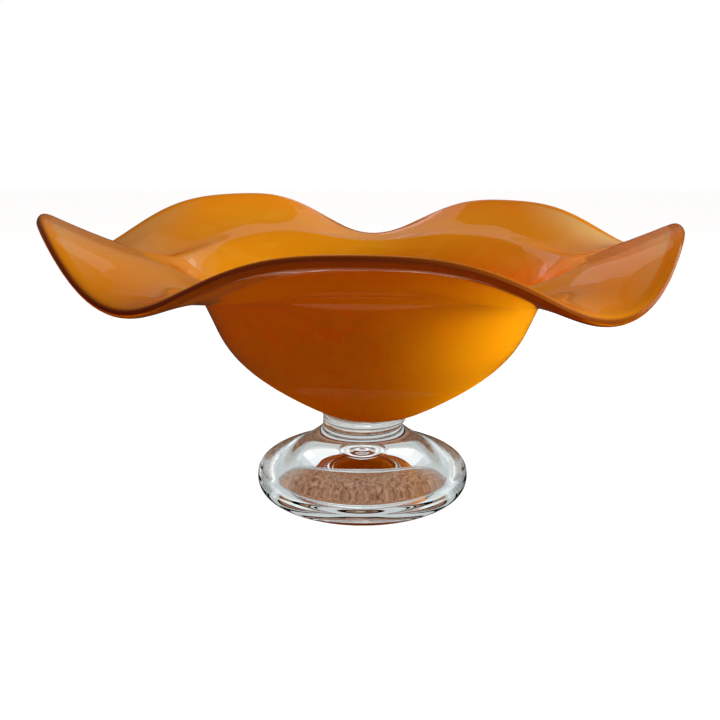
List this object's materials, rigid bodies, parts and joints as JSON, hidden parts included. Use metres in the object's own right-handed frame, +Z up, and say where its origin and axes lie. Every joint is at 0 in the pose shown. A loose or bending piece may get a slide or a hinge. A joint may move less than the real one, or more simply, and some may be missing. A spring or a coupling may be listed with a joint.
{
  "type": "footed glass centrepiece bowl",
  "caption": "Footed cased glass bowl: deep amber body, wide wavy handkerchief rim, clear neck rings and a clear round foot.",
  "frame": {"origin": "centre of the foot, on the plane it stands on", "axes": "+Z up through the neck to the bowl; -Y is the front, where the broadest lobe of the rim is; +X to the right seen from the front"},
  "size_m": [0.3525, 0.3563, 0.1692],
  "materials": {
    "amber_glass": "dense, glossy orange glass that glows where light comes through it",
    "clear_casing_glass": "clear polished overlay",
    "clear_glass": "clear, polished, fire-rounded"
  },
  "bodies": {
    "root": {"amber_bowl": "amber_glass", "clear_casing": "clear_casing_glass", "upper_neck_ring": "clear_glass", "lower_neck_ring": "clear_glass", "foot": "clear_glass"}
  },
  "joints": []
}
